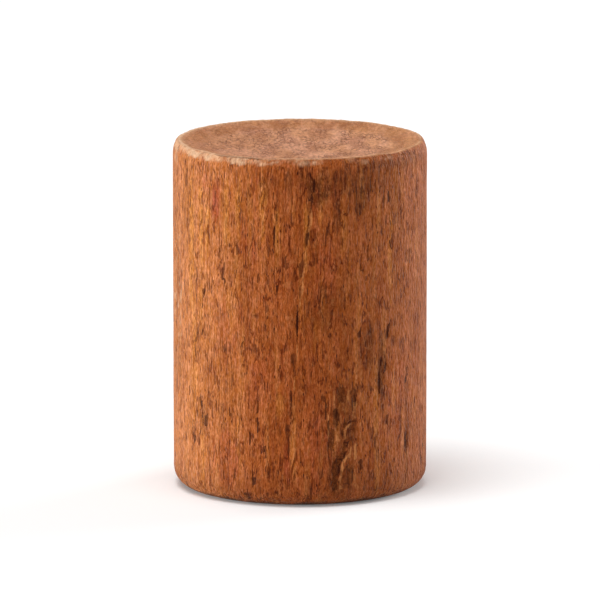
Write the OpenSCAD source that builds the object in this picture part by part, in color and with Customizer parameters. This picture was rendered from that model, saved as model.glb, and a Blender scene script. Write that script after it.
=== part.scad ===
// Turned wooden cap for a perfume spray bottle, with its moulded collar insert.
// Millimetres, +Z up. The origin is the centre of the foot, on the cap's own axis,
// and -Y is the front. The foot stands on the table and the dished end is on top.

/* [Wooden shell] */
// Diameter of the turned body
shell_d = 29; // [27:0.5:34]
// Height from the foot to the crest of the rim
shell_h = 40; // [36:0.5:46]
// Radius of the worn shoulder between the side and the rim
shoulder_r = 3.2; // [2.6:0.1:4]
// Height down the side over which the shoulder is worn
shoulder_drop = 1.7; // [1:0.1:2.2]
// Radius of the rim's crest
crest_r = 0.4; // [0.3:0.05:0.7]
// Slope of the dished top just inside the crest, in degrees
dish_slope = 14.5; // [8:0.5:18]
// Diameter of the flatter floor inside the sloping band
floor_d = 22; // [18:0.5:24]
// How far the middle of the floor lies below its edge
floor_sag = 0.3; // [0.1:0.05:0.6]
// Radius of the round along the foot
foot_r = 2.1; // [0.6:0.1:2.4]

/* [Hole in the shell] */
// Depth of the blind hole from the foot
hole_depth = 27; // [25:0.5:31]
// Chamfer at the mouth of the hole
hole_chamfer = 0.6; // [0.3:0.1:0.9]

/* [Collar insert] */
// Glue gap round the insert, on the radius
glue_gap = 0.05; // [0.02:0.01:0.15]
// Depth of the insert's mouth inside the foot
insert_recess = 0.5; // [0.3:0.1:1.2]
// Diameter of the bore that grips the pump's collar
grip_d = 17.6; // [17:0.1:17.8]
// Wall of the skirt round the gripping bore
skirt_wall = 1.15; // [1:0.05:1.5]
// Height of the gripping bore above the insert's mouth
grip_h = 11; // [8:0.5:13]
// Chamfer that leads the collar in
lead_in = 0.4; // [0.2:0.05:0.5]
// Diameter of the chamber over the spray button
chamber_d = 14.6; // [14:0.1:15.4]
// Wall of the chamber and thickness of its closed end
insert_wall = 1.2; // [0.9:0.1:1.4]
// Number of vertical vents in the gripping bore
vent_count = 6; // [4:1:8]
// Width of each vent
vent_w = 1.6; // [0.8:0.1:2]
// Depth of each vent behind the lead-in chamfer
vent_depth = 0.15; // [0.05:0.05:0.2]
// Number of fins that centre the chamber in the hole
fin_count = 6; // [3:1:8]
// Thickness of each fin
fin_t = 1; // [0.6:0.1:1.4]
// Number of glue grooves round the skirt
groove_count = 3; // [1:1:4]
// Width of each glue groove
groove_w = 1; // [0.5:0.1:1.4]
// Depth of each glue groove
groove_depth = 0.3; // [0.1:0.05:0.4]

/* [Weathering] */
// Depth of the deepest drying checks in the side
check_depth = 0.25; // [0.1:0.05:0.4]
// Depth of the scoops in the torn patch low on the front
tear_depth = 0.3; // [0.1:0.05:0.4]
// Width of the scoops in the torn patch
tear_w = 2.6; // [1.6:0.1:3.2]
// Radius of the round knocks along the rim
knock_r = 4; // [2:0.5:6]
// Depth of the knocks
knock_depth = 0.15; // [0.05:0.01:0.2]

/* [Hidden] */
$fn = 96;
overlap = 0.01;

shell_r = shell_d / 2;
skirt_r = grip_d / 2 + skirt_wall;
hole_r = skirt_r + glue_gap;
chamber_wall_r = chamber_d / 2 + insert_wall;
insert_h = hole_depth - insert_recess;
skirt_h = grip_h + insert_wall;

// The crest is a small arc between the shoulder's arc and the dish. Its circle is a hair
// larger than the one that only touches them, so that the three arcs cross.
crest_swell = 0.005;
crest_drop = crest_r + crest_swell;
shoulder_centre = [shell_r - shoulder_r, shell_h - shoulder_drop];
crest_x = shoulder_centre[0]
    + sqrt(pow(shoulder_r - crest_r, 2) - pow(shoulder_drop - crest_drop, 2));
crest_centre = [crest_x, shell_h - crest_drop];
band_r = crest_x / sin(dish_slope) - crest_r;
band_z = crest_centre[1] + (band_r + crest_r) * cos(dish_slope);

// The knocks come in at this slant, from above and outside the crest.
knock_slant = 30;

// The floor's arc starts on the band's arc.
floor_edge_z = band_z - sqrt(pow(band_r, 2) - pow(floor_d / 2, 2));
floor_r = (pow(floor_d / 2, 2) + pow(floor_sag, 2)) / (2 * floor_sag);
floor_z = floor_edge_z - floor_sag + floor_r;

// Open drying checks: [turn to the right of the front, share of the height, length, width, lean]
CHECKS = [
    [7.5, 0.93, 3.0, 0.36, 10],
    [3.2, 0.77, 9.0, 0.34, 8],
    [-0.7, 0.54, 5.0, 0.40, 3],
    [-4.4, 0.26, 5.5, 0.46, 2],
    [-11.6, 0.78, 2.8, 0.36, 4],
    [-51.6, 0.27, 2.0, 0.50, -4],
    [-49.6, 0.235, 1.5, 0.44, 6],
    [-41.7, 0.27, 1.8, 0.32, 5],
    [39.3, 0.38, 4.6, 0.56, 4],
    [42.2, 0.39, 2.0, 0.44, 16],
    [44.4, 0.50, 1.9, 0.40, 8],
    [57.2, 0.35, 2.0, 0.40, 10],
    [56.7, 0.16, 1.7, 0.46, 5]
];

// Scoops of the torn patch: [turn, share of the height, length, lean]
TEARS = [
    [16.4, 0.29, 5.0, -4],
    [16.8, 0.13, 6.8, 3],
    [23.8, 0.155, 7.6, 0],
    [24.8, 0.335, 4.2, -3]
];

// Turn of each knock along the rim
KNOCKS = [-64, -40, -17, 52];

// Half of the body's section, from the axis to the side, with every round stretch a true arc
module turned_outline() {
    translate([0, foot_r]) square([shell_r, shoulder_centre[1] - foot_r]);
    square([shell_r - foot_r, shoulder_centre[1]]);
    translate([shell_r - foot_r, foot_r]) circle(foot_r);
    translate(shoulder_centre) circle(shoulder_r);
    translate([0, shoulder_centre[1]]) square([shoulder_centre[0], shoulder_r]);
}

// Wedge from the crest's centre through the points where its arc meets the shoulder and the dish
module crest_wedge() {
    reach = 3 * crest_r;
    to_shoulder = crest_centre - shoulder_centre;
    to_dish = [0, band_z] - crest_centre;
    far_shoulder = crest_centre + reach * to_shoulder / norm(to_shoulder);
    far_dish = crest_centre + reach * to_dish / norm(to_dish);
    polygon([crest_centre, far_shoulder, far_shoulder + [0, reach], far_dish]);
}

module shell_section() {
    difference() {
        turned_outline();
        intersection() {
            translate([0, band_z]) circle(band_r);
            translate([0, floor_z]) circle(floor_r);
        }
        difference() {
            crest_wedge();
            translate(crest_centre) circle(crest_r + crest_swell);
        }
        square([hole_r, hole_depth]);
        polygon([
            [0, -overlap], [hole_r + hole_chamfer + overlap, -overlap],
            [hole_r, hole_chamfer], [0, hole_chamfer]
        ]);
    }
}

// A spindle with pointed ends, the shape of a split in the grain
module spindle(arc_r, width) {
    rotate_extrude() intersection() {
        translate([width / 2 - arc_r, 0]) circle(arc_r);
        translate([0, -arc_r]) square([width, 2 * arc_r]);
    }
}

// Cuts the side with an upright spindle, this long and this deep at the surface
module side_cut(turn, share, length, width, lean, depth) {
    arc_r = (pow(length / 2, 2) + pow(depth, 2)) / (2 * depth);
    rotate([0, 0, turn])
        translate([0, -shell_r - width / 2 + depth, share * shell_h])
            rotate([0, lean, 0]) spindle(arc_r, width);
}

module drying_checks() {
    for (check = CHECKS)
        side_cut(check[0], check[1], check[2], check[3], check[4], min(check_depth, check[3] / 2));
}

module torn_patch() {
    for (tear = TEARS)
        side_cut(tear[0], tear[1], tear[2], tear_w, tear[3], tear_depth);
}

module rim_knocks() {
    reach = crest_r + knock_r - knock_depth;
    out = crest_x + reach * sin(knock_slant);
    up = crest_centre[1] + reach * cos(knock_slant);
    for (turn = KNOCKS)
        rotate([0, 0, turn]) translate([0, -out, up]) sphere(knock_r);
}

module wooden_shell() {
    color("sienna") difference() {
        rotate_extrude() shell_section();
        drying_checks();
        torn_patch();
        rim_knocks();
    }
}

module glue_grooves() {
    pitch = skirt_h / (groove_count + 1);
    for (i = [1 : groove_count])
        translate([0, 0, i * pitch - groove_w / 2]) difference() {
            cylinder(r = skirt_r + overlap, h = groove_w);
            translate([0, 0, -overlap])
                cylinder(r = skirt_r - groove_depth, h = groove_w + 2 * overlap);
        }
}

module vents() {
    for (i = [0 : vent_count - 1])
        rotate([0, 0, (i + 0.5) * 360 / vent_count])
            translate([grip_d / 4, -vent_w / 2, -overlap])
                cube([grip_d / 4 + lead_in + vent_depth, vent_w, grip_h + overlap]);
}

// Fins stand on the skirt, reach as far out as it does and stop short of the closed end
module fins() {
    root_r = chamber_wall_r - insert_wall / 2;
    fin_h = insert_h - skirt_h - insert_wall;
    intersection() {
        for (i = [0 : fin_count - 1])
            rotate([0, 0, i * 360 / fin_count])
                translate([root_r, -fin_t / 2, skirt_h])
                    cube([hole_r - root_r, fin_t, fin_h]);
        cylinder(r = skirt_r, h = insert_h);
    }
}

module collar_insert() {
    color("ivory") translate([0, 0, insert_recess]) difference() {
        union() {
            cylinder(r = skirt_r, h = skirt_h);
            cylinder(r = chamber_wall_r, h = insert_h);
            fins();
        }
        glue_grooves();
        vents();
        translate([0, 0, -overlap]) cylinder(d = grip_d, h = grip_h + overlap);
        translate([0, 0, -overlap])
            cylinder(r1 = grip_d / 2 + lead_in + overlap, r2 = grip_d / 2, h = lead_in + overlap);
        cylinder(d = chamber_d, h = insert_h - insert_wall);
    }
}

wooden_shell();
collar_insert();
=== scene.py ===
import math
import random

import bpy
import numpy as np
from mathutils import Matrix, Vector, noise


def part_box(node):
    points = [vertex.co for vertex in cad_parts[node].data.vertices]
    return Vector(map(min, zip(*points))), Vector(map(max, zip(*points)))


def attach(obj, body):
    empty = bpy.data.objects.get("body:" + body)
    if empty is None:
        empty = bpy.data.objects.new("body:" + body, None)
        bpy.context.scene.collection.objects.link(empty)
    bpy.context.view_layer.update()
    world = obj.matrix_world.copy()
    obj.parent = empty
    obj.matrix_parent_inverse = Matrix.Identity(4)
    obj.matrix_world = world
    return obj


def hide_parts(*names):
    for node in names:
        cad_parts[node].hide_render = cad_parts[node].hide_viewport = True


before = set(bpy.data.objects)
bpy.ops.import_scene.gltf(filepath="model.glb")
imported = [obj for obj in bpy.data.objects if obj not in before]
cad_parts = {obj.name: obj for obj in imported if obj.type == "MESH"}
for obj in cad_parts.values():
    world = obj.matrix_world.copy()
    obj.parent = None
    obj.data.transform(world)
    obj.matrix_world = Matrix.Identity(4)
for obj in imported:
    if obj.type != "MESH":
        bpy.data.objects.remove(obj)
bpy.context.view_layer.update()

mm = 0.001  # sizes are in millimetres, and this turns them into Blender's metres
hair = 0.01  # what lies closer than this is in the same place


def deselectAll():
    if bpy.context.object and bpy.context.object.mode != "OBJECT":
        bpy.ops.object.mode_set(mode="OBJECT")
    bpy.ops.object.select_all(action="DESELECT")


# a long lens from a metre away, so the sides stay nearly parallel
cameraLook = {
    "distance": 987.0,
    "elevation": 10.716,  # degrees above the table
    "aimHeight": 20.0,
    "focalPixels": 8632.8,
    "imageSize": 600,
    "centreX": 299.94,
    "centreY": 310.58,
    "sensorWidth": 36,
}


def addCamera():
    look = cameraLook
    data = bpy.data.cameras.new("studioCamera")
    camera = bpy.data.objects.new("studioCamera", data)
    bpy.context.scene.collection.objects.link(camera)
    lift = math.radians(look["elevation"])
    reach = look["distance"] * mm
    height = look["aimHeight"] * mm + reach * math.sin(lift)
    camera.location = (0, -reach * math.cos(lift), height)
    camera.rotation_euler = (math.pi / 2 - lift, 0, 0)
    data.sensor_width = look["sensorWidth"]
    data.sensor_fit = "HORIZONTAL"
    data.lens = look["focalPixels"] / look["imageSize"] * look["sensorWidth"]
    half = look["imageSize"] / 2
    data.shift_x = (half - look["centreX"]) / look["imageSize"]
    data.shift_y = (look["centreY"] - half) / look["imageSize"]
    bpy.context.scene.camera = camera
    print("camera set:", round(data.lens), "mm lens")


def newMaterial(name):
    material = bpy.data.materials.new(name)
    material.use_nodes = True
    material.node_tree.nodes.clear()
    return material, material.node_tree.nodes, material.node_tree.links


def feed(links, value, socket):
    if isinstance(value, bpy.types.NodeSocket):
        links.new(value, socket)
    else:
        socket.default_value = value


def mathNode(nodes, links, operation, first, second=0.0, third=0.0, clamp=False):
    node = nodes.new("ShaderNodeMath")
    node.operation = operation
    node.use_clamp = clamp
    feed(links, first, node.inputs[0])
    feed(links, second, node.inputs[1])
    feed(links, third, node.inputs[2])
    return node.outputs[0]


def stretched(nodes, links, scale, shift=(0, 0, 0)):
    # object coordinates, scaled so that one unit is one grain of the pattern
    place = nodes.new("ShaderNodeTexCoord")
    mapping = nodes.new("ShaderNodeMapping")
    mapping.inputs["Scale"].default_value = scale
    mapping.inputs["Location"].default_value = shift
    links.new(place.outputs["Object"], mapping.inputs["Vector"])
    return mapping.outputs[0]


def noiseNode(nodes, links, scale, detail=2.0, rough=0.5, distort=0.0, shift=(0, 0, 0)):
    node = nodes.new("ShaderNodeTexNoise")
    node.inputs["Scale"].default_value = 1.0
    node.inputs["Detail"].default_value = detail
    node.inputs["Roughness"].default_value = rough
    node.inputs["Distortion"].default_value = distort
    links.new(stretched(nodes, links, scale, shift), node.inputs["Vector"])
    return node.outputs[0]


def spread(nodes, links, value, low, high, toLow=0.0, toHigh=1.0, smooth=True):
    node = nodes.new("ShaderNodeMapRange")
    node.interpolation_type = "SMOOTHSTEP" if smooth else "LINEAR"
    node.inputs["From Min"].default_value = low
    node.inputs["From Max"].default_value = high
    node.inputs["To Min"].default_value = toLow
    node.inputs["To Max"].default_value = toHigh
    links.new(value, node.inputs["Value"])
    return node.outputs[0]


def mixColour(nodes, links, amount, first, second, blend="MIX"):
    node = nodes.new("ShaderNodeMix")
    node.data_type = "RGBA"
    node.blend_type = blend
    feed(links, amount, node.inputs[0])
    feed(links, first, node.inputs[6])
    feed(links, second, node.inputs[7])
    return node.outputs[2]


def painted(red, green, blue):
    # an sRGB colour from 0 to 255, as Blender's linear values
    def linear(level):
        share = level / 255
        return share / 12.92 if share <= 0.04045 else ((share + 0.055) / 1.055) ** 2.4

    return (linear(red), linear(green), linear(blue), 1.0)


def attribute(nodes, name):
    node = nodes.new("ShaderNodeAttribute")
    node.attribute_name = name
    return node.outputs["Fac"]


# Places on the side are given as (arc, height): the way round the outside to the right of the
# front, and the height above the foot. A turn is in degrees to the right of the front.
shellLook = {
    "form": {
        "shoulderRadius": 3.2,
        "shoulderDrop": 1.7,
        "crestRadius": 0.4,
        "dishSlope": 14.5,
        "floorDiameter": 22.0,
        "floorSag": 0.3,
        "footRadius": 2.1,
        "holeRadius": 10.0,
        "holeDepth": 27.0,
        "holeChamfer": 0.6,
    },
    "mesh": {
        "frontSteps": 356,  # columns of the half that faces the front
        "backSteps": 140,
        "lowTop": 14.5,  # the rows lie closer over the torn patch, up to this height
        "lowStep": 0.24,
        "sideStep": 0.38,
        "bandStep": 0.25,
        "floorStep": 0.36,
    },
    "relief": {
        "skin": 0.03,  # the weathered skin lies this far inside the turned form
        "thinnest": 0.002,  # and never closer to it than this
        "topDepth": 3,  # the top lies no further than this below the crest
        "topLean": (0.45, 0.95),  # how far a face points up where the top's finish begins and is full
        "bandEdge": (-1.2, 0.9),  # how far outside the floor the band's finish begins and is full
        "sideWaves": [  # depth, grains for each mm, shift
            (0.045, (0.11, 0.11, 0.05), 3.1),
            (0.025, (0.45, 0.45, 0.11), 9.4),
            (0.030, (1.7, 1.7, 0.13), 17.7),
            (0.018, (3.4, 3.4, 0.40), 31.2),
        ],
        "topWaves": [
            (0.030, (0.20, 0.20, 0.20), 5.7),
            (0.035, (1.10, 1.10, 0.60), 45.9),
            (0.020, (2.60, 2.60, 1.00), 58.3),
        ],
        "crestWaves": [(0.016, (0.9, 0.9, 0.9), 71.0), (0.022, (2.4, 2.4, 2.4), 83.5)],
        "tornTent": 1.2,  # a hollow is marked from half this outside its outline to half inside it
        # how far an edge or line strays, grains for each mm, shift
        "crackStray": (0.10, (0.2, 0.2, 1.3), 12.3),
        "tornEdge": (0.10, (2.3, 2.3, 1.3), 22.8),
        "stainEdge": [(0.8, (1.6, 1.6, 0.25), 37.7), (0.5, (3.3, 3.3, 0.8), 5.2)],
    },
    # half width, depth, darkness, pale lip on the right (a painted highlight where the crack's far wall
    # faces the light), and the line
    "cracks": [
        (0.13, 0.17, 0.95, 0.30, [(1.74, 38.0), (1.62, 37.2), (1.44, 36.0), (1.34, 35.0)]),
        (0.12, 0.10, 0.62, 0.85, [(1.34, 35.0), (1.02, 33.3), (0.73, 31.3), (0.48, 29.2)]),
        (0.12, 0.10, 0.66, 0.80, [(0.48, 29.2), (0.19, 26.7), (-0.15, 23.3)]),
        (0.13, 0.20, 1.00, 0.45, [(-0.15, 23.3), (-0.31, 21.9), (-0.34, 19.9)]),
        (0.11, 0.10, 0.55, 0.65, [(-0.34, 19.9), (-0.60, 17.0), (-0.98, 12.9)]),
        (0.12, 0.16, 0.70, 0.55, [(-0.98, 12.9), (-1.16, 10.0), (-1.22, 7.0), (-1.5, 4.6)]),
        (0.12, 0.17, 0.90, 0.55, [(-2.82, 32.6), (-2.94, 31.0), (-3.10, 29.3)]),
        (0.10, 0.12, 0.70, 0.30, [(-4.70, 28.6), (-4.74, 27.0), (-4.90, 25.8)]),
        (0.13, 0.17, 0.95, 0.40, [(-12.35, 24.6), (-12.5, 23.4), (-12.6, 22.0)]),
        (0.13, 0.20, 1.00, 0.55, [(-13.2, 12.0), (-13.06, 11.0), (-12.85, 9.9)]),
        (0.14, 0.21, 1.00, 0.55, [(-12.7, 10.0), (-12.5, 9.2), (-12.5, 8.4)]),
        (0.10, 0.13, 0.85, 0.30, [(-10.5, 12.0), (-10.52, 10.8), (-10.6, 9.8)]),
        (0.10, 0.14, 0.85, 0.30, [(-12.1, 20.3), (-12.12, 18.6)]),
        (0.10, 0.12, 0.85, 0.20, [(-12.75, 20.0), (-12.7, 19.0)]),
        (0.10, 0.13, 0.80, 0.40, [(-15.0, 36.0), (-15.1, 34.5), (-15.0, 33.2)]),
        (0.10, 0.11, 0.75, 0.30, [(-11.8, 31.4), (-11.9, 29.6)]),
        (0.10, 0.10, 0.70, 0.30, [(-7.4, 30.6), (-7.5, 28.8)]),
        (0.10, 0.10, 0.70, 0.25, [(-8.9, 24.6), (-9.0, 23.0)]),
        (0.10, 0.10, 0.65, 0.20, [(-6.0, 18.6), (-6.1, 17.0)]),
        (0.09, 0.13, 0.95, 0.50, [(0.95, 31.6), (0.90, 30.9), (0.88, 30.2)]),
        (0.14, 0.20, 0.95, 0.35, [(11.3, 20.9), (11.2, 20.0), (11.05, 18.9)]),
        (0.13, 0.20, 0.95, 0.50, [(10.3, 17.2), (9.95, 15.8), (9.8, 14.4), (9.75, 12.6)]),
        (0.13, 0.17, 0.90, 0.45, [(10.95, 16.5), (10.7, 15.6), (10.45, 14.7)]),
        (0.13, 0.18, 0.95, 0.35, [(14.7, 15.2), (14.5, 14.2), (14.35, 13.2)]),
        (0.13, 0.19, 0.95, 0.35, [(14.4, 7.3), (14.35, 6.3), (14.2, 5.4)]),
        (0.10, 0.14, 0.80, 0.25, [(16.45, 5.2), (16.4, 4.2)]),
        (0.10, 0.10, 0.70, 0.20, [(7.9, 13.0), (7.95, 11.2)]),
        (0.10, 0.11, 0.75, 0.20, [(7.7, 6.0), (7.6, 3.9)]),
        (0.10, 0.10, 0.60, 0.20, [(8.1, 37.0), (8.0, 35.2)]),
        (0.10, 0.10, 0.60, 0.50, [(10.1, 36.6), (10.7, 33.0), (10.9, 30.6)]),
        (0.10, 0.10, 0.60, 0.20, [(5.3, 24.6), (5.2, 22.6)]),
        (0.10, 0.12, 0.70, 0.20, [(8.2, 31.2), (8.2, 29.6), (8.15, 27.8)]),
        (0.10, 0.10, 0.60, 0.30, [(7.1, 27.9), (7.6, 26.6), (8.0, 25.4)]),
        (0.14, 0.16, 0.90, 0.30, [(11.3, 30.2), (11.3, 29.2)]),
        (0.10, 0.10, 0.70, 0.20, [(12.9, 31.6), (12.9, 30.8)]),
        (0.10, 0.10, 0.60, 0.20, [(2.7, 13.2), (2.8, 11.7)]),
        (0.10, 0.10, 0.60, 0.20, [(3.1, 13.0), (3.0, 11.5)]),
        (0.10, 0.12, 0.60, 0.00, [(4.2, 13.9), (4.2, 12.9)]),
        (0.11, 0.14, 0.90, 0.10, [(4.35, 11.9), (4.35, 10.6), (4.4, 9.4)]),
        (0.10, 0.12, 0.70, 0.20, [(6.6, 13.6), (6.6, 12.3), (6.4, 11.5), (6.1, 10.8)]),
        (0.10, 0.10, 0.60, 0.00, [(5.3, 9.5), (5.9, 9.75), (6.4, 9.8), (6.9, 9.8)]),
        (0.10, 0.08, 0.45, 0.00, [(5.8, 8.75), (6.8, 8.9)]),
        (0.11, 0.14, 0.85, 0.00, [(4.95, 8.9), (5.0, 7.9), (5.2, 7.3)]),
        (0.12, 0.15, 0.90, 0.10, [(5.55, 7.4), (5.35, 6.4), (5.15, 5.7), (4.8, 5.2)]),
        (0.10, 0.12, 0.75, 0.00, [(3.4, 7.7), (3.3, 6.4)]),
        (0.13, 0.18, 1.00, 0.00, [(4.75, 5.1), (4.5, 4.0), (4.4, 3.1), (4.4, 2.0)]),
        (0.10, 0.08, 0.55, 0.00, [(4.2, 5.45), (5.0, 5.4)]),
        (0.10, 0.10, 0.70, 0.00, [(6.2, 4.3), (6.1, 3.2)]),
        (0.10, 0.08, 0.50, 0.00, [(5.1, 2.6), (5.8, 2.7)]),
        (0.10, 0.12, 0.85, 0.30, [(7.2, 5.4), (7.1, 3.8)]),
        (0.10, 0.10, 0.70, 0.20, [(7.5, 9.0), (7.5, 8.4)]),
        (0.10, 0.10, 0.70, 0.20, [(7.9, 11.1), (7.9, 10.3)]),
        (0.10, 0.10, 0.80, 0.20, [(8.5, 6.2), (8.3, 5.6)]),
        (0.10, 0.10, 0.70, 0.20, [(8.9, 13.6), (8.9, 12.6)]),
    ],
    # the torn patch, hollow by hollow: depth, darkness (the torn wood's own and painted shade in the
    # hollow), outline
    "hollows": [
        (0.17, 0.70, [(4.2, 13.9), (5.3, 13.8), (5.4, 12.5), (5.3, 12.0), (4.7, 12.0), (4.3, 11.7)]),
        (0.17, 0.75, [(5.9, 13.7), (6.6, 13.6), (6.6, 12.2), (6.1, 10.8), (5.9, 11.4)]),
        (0.15, 0.80, [(3.7, 11.1), (4.3, 11.8), (4.45, 9.5), (4.1, 9.1), (3.8, 9.6)]),
        (0.15, 0.80, [(3.6, 9.3), (4.1, 9.2), (4.0, 8.2), (3.9, 7.2), (3.4, 6.4), (3.2, 6.8), (3.4, 7.8)]),
        (0.22, 1.00, [(5.0, 9.8), (5.55, 9.7), (5.4, 9.3), (5.15, 9.0), (4.95, 8.7)]),
        (
            0.17,
            0.80,
            [(4.7, 8.8), (5.1, 9.1), (5.1, 7.7), (5.5, 7.3), (5.3, 6.3), (5.1, 5.6), (4.7, 6.1), (5.0, 7.0)],
        ),
        (0.18, 0.90, [(4.2, 5.9), (5.1, 5.8), (4.8, 5.0), (4.5, 4.7), (3.9, 5.1)]),
        (0.20, 0.95, [(3.8, 5.3), (4.7, 4.9), (4.4, 3.3), (4.4, 1.9), (3.7, 1.8), (3.75, 3.4), (3.5, 4.2)]),
        (0.12, 0.50, [(5.1, 4.4), (5.7, 5.1), (6.2, 4.4), (6.2, 2.9), (5.8, 2.0), (4.95, 1.9), (4.8, 3.1)]),
        (0.10, 0.40, [(5.7, 9.3), (6.7, 9.4), (6.9, 8.7), (6.6, 7.4), (5.7, 7.3), (5.4, 8.4)]),
        (0.07, 0.45, [(9.4, 17.7), (10.1, 18.0), (10.9, 16.4), (10.6, 14.8), (9.6, 14.6)]),
    ],
    # pale ridges left standing between the hollows, their brightness partly a painted highlight: half width,
    # brightness, line
    "ridges": [
        (0.15, 0.82, [(5.4, 5.8), (5.0, 5.0), (4.8, 4.1), (4.62, 3.3), (4.7, 2.0)]),
        (0.15, 0.76, [(5.8, 9.4), (5.4, 9.05), (5.25, 8.6), (5.25, 8.0), (5.4, 7.4)]),
        (0.14, 0.88, [(6.4, 7.0), (6.5, 5.4)]),
        (0.13, 0.78, [(6.35, 4.2), (6.35, 2.4)]),
        (0.16, 0.66, [(4.7, 11.2), (4.7, 8.9)]),
        (0.20, 0.72, [(4.1, 8.5), (4.4, 7.7)]),
        (0.20, 0.72, [(6.45, 11.8), (6.3, 10.5)]),
        (0.40, 0.56, [(6.2, 2.6), (6.7, 2.1)]),
        (0.20, 0.60, [(3.95, 13.4), (3.75, 11.3)]),
        (0.14, 0.66, [(3.2, 10.8), (3.3, 7.8)]),
        (0.13, 0.62, [(3.4, 5.8), (3.4, 3.3)]),
        (0.30, 0.55, [(4.6, 11.5), (5.3, 10.9)]),
        (0.16, 0.74, [(5.65, 13.4), (5.6, 12.1)]),
        (0.12, 0.70, [(7.05, 9.6), (7.0, 7.2)]),
        (0.12, 0.75, [(7.0, 13.2), (7.0, 10.6)]),
        (0.12, 0.65, [(5.9, 6.8), (5.8, 5.6)]),
        (0.13, 0.50, [(10.5, 31.8), (11.0, 29.6), (11.2, 27.2), (11.8, 23.6)]),
    ],
    # stains in the grain: kind, arc, height, half width, half height, strength
    "stains": [
        ("gold", -14.7, 29.0, 0.40, 9.0, 0.9),
        ("gold", -12.7, 31.0, 0.35, 5.0, 0.9),
        ("gold", -11.7, 31.3, 0.30, 2.6, 0.9),
        ("gold", -14.2, 15.0, 0.50, 8.0, 0.55),
        ("gold", -12.9, 23.0, 0.30, 5.0, 0.5),
        ("gold", -9.00, 33.5, 0.40, 4.0, 0.6),
        ("gold", -7.20, 34.5, 0.30, 3.0, 0.55),
        ("gold", -4.30, 35.0, 0.35, 3.0, 0.6),
        ("gold", -2.55, 31.0, 0.25, 2.6, 0.7),
        ("gold", 0.75, 31.5, 0.22, 4.6, 0.5),
        ("gold", 0.05, 24.5, 0.20, 3.0, 0.3),
        ("gold", 2.40, 35.4, 0.30, 2.4, 0.3),
        ("gold", -0.95, 7.0, 0.22, 2.4, 0.3),
        ("gold", -2.20, 11.8, 0.50, 1.2, 0.35),
        ("gold", -12.6, 6.0, 0.50, 4.0, 0.5),
        ("gold", 5.00, 32.5, 0.25, 5.0, 0.25),
        ("gold", 11.4, 28.0, 0.30, 6.0, 0.45),
        ("gold", 9.30, 11.5, 0.30, 5.0, 0.4),
        ("rust", -10.4, 34.8, 0.80, 2.6, 0.9),
        ("rust", -12.0, 36.2, 0.60, 1.6, 0.5),
        ("rust", -6.20, 31.0, 1.10, 2.6, 0.5),
        ("rust", -8.30, 20.5, 1.60, 3.0, 0.35),
        ("rust", -9.00, 5.0, 1.60, 3.4, 0.5),
        ("rust", -4.60, 15.0, 1.40, 3.0, 0.35),
        ("rust", -1.35, 5.6, 0.28, 2.4, 0.9),
        ("rust", 1.80, 6.0, 1.20, 4.0, 0.45),
        ("rust", 2.60, 27.0, 1.40, 4.0, 0.4),
        ("rust", 4.10, 36.4, 0.80, 1.6, 0.5),
        ("rust", 12.5, 12.0, 1.20, 5.0, 0.3),
        ("shade", 12.5, 38.8, 6.5, 0.9, 0.42),
        ("shade", 7.00, 35.2, 0.90, 2.2, 0.65),
        ("shade", 1.60, 36.4, 1.40, 1.9, 0.75),
        ("shade", 4.00, 37.2, 6.50, 1.6, 0.5),
        ("shade", 4.30, 34.6, 0.50, 2.4, 0.5),
        ("shade", 8.20, 18.2, 1.00, 2.2, 0.5),
        ("shade", 10.1, 15.0, 0.60, 3.4, 0.6),
        ("shade", 4.90, 7.6, 1.60, 6.4, 0.5),
        ("shade", -1.00, 10.6, 0.30, 2.2, 0.5),
        ("shade", -6.18, 1.1, 0.45, 0.55, 1.0),
        ("shade", -12.9, 10.2, 0.45, 2.2, 0.4),
        ("shade", 3.00, 22.5, 1.40, 3.0, 0.3),
        ("shade", 14.4, 9.0, 0.50, 7.0, 0.35),
    ],
    # short splits scattered all round, from one seed
    "pits": {
        "seed": 41,
        "count": 900,
        "lowest": 1.2,
        "highest": 2.6,  # below the crest
        "halfWidth": (0.07, 0.13),
        "length": (0.5, 2.4),
        "depth": (0.04, 0.12),
        "darkness": (0.35, 0.95),
        "lean": (-0.06, 0.06),
        "backWiden": 1.5,  # the back's columns are wider apart
        "backFaint": 0.5,
    },
    "rim": {
        "crest": ((0.85, 0.75), (0, 0.7)),  # how far in and how far down: middle and half width
        "chipLevel": 0.02,  # what lies lower than this below the middle of the waves isn't chipped
        "reach": 0.6,  # the lines along the crest end this far below it
        "bareReach": 0.8,  # rubbed bare no further in than this
        "blotReach": 0.9,
        "leftFade": (-22, 12),  # the bare left fades out across these turns
        "backFade": (95, 20),  # and is back again across these, counted from the back
        "leftBare": 0.62,
        "front": (5, 32),  # turn and half width of the duller wear in front
        "dull": (0.07, 0.33),  # all round, and more in front
        "patches": ((0.55, 0.55, 0.8), 24.2),
        "patchLevels": (-0.25, 0.2),
        "ragged": ((1.1, 1.1, 0.5), 64.2),
        "streaks": ((5.2, 5.2, 0.5), 14.2),
        "edgeStray": (0.30, 0.28),  # how far these two bend the lower edge of the bare wood
        "edgeStart": (0.50, 0.05),  # its drop where it begins, and how much more on the left
        "edgeEnd": (0.85, 0.20),
        "crestWearAndHighlight": (0.74, 0.17),  # the pale line along the crest, worn wood with a painted highlight where the edge catches the light: how far in and half width
        "crestShares": (0.52, 0.48, 0.45),  # all round, more on the left and in front, and ragged
        "innerLine": (1.1, 0.4),
        "innerShare": 0.35,
        "groove": (0.50, 0.36),  # a fine groove beside the crest: how far in and half width
        "grooveStart": (-50, -40),
        "grooveEnd": (-19, -14),
        "grooveDark": 0.45,
        # turn, half width in degrees, depth
        "knocks": [
            (-64, 8, 0.10),
            (-40, 10, 0.12),
            (-17, 8, 0.08),
            (52, 8, 0.09),
            (128, 7, 0.04),
            (250, 7, 0.04),
        ],
        # pale chips: turn, drop below the crest, half sizes, strength
        "blots": [
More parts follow.
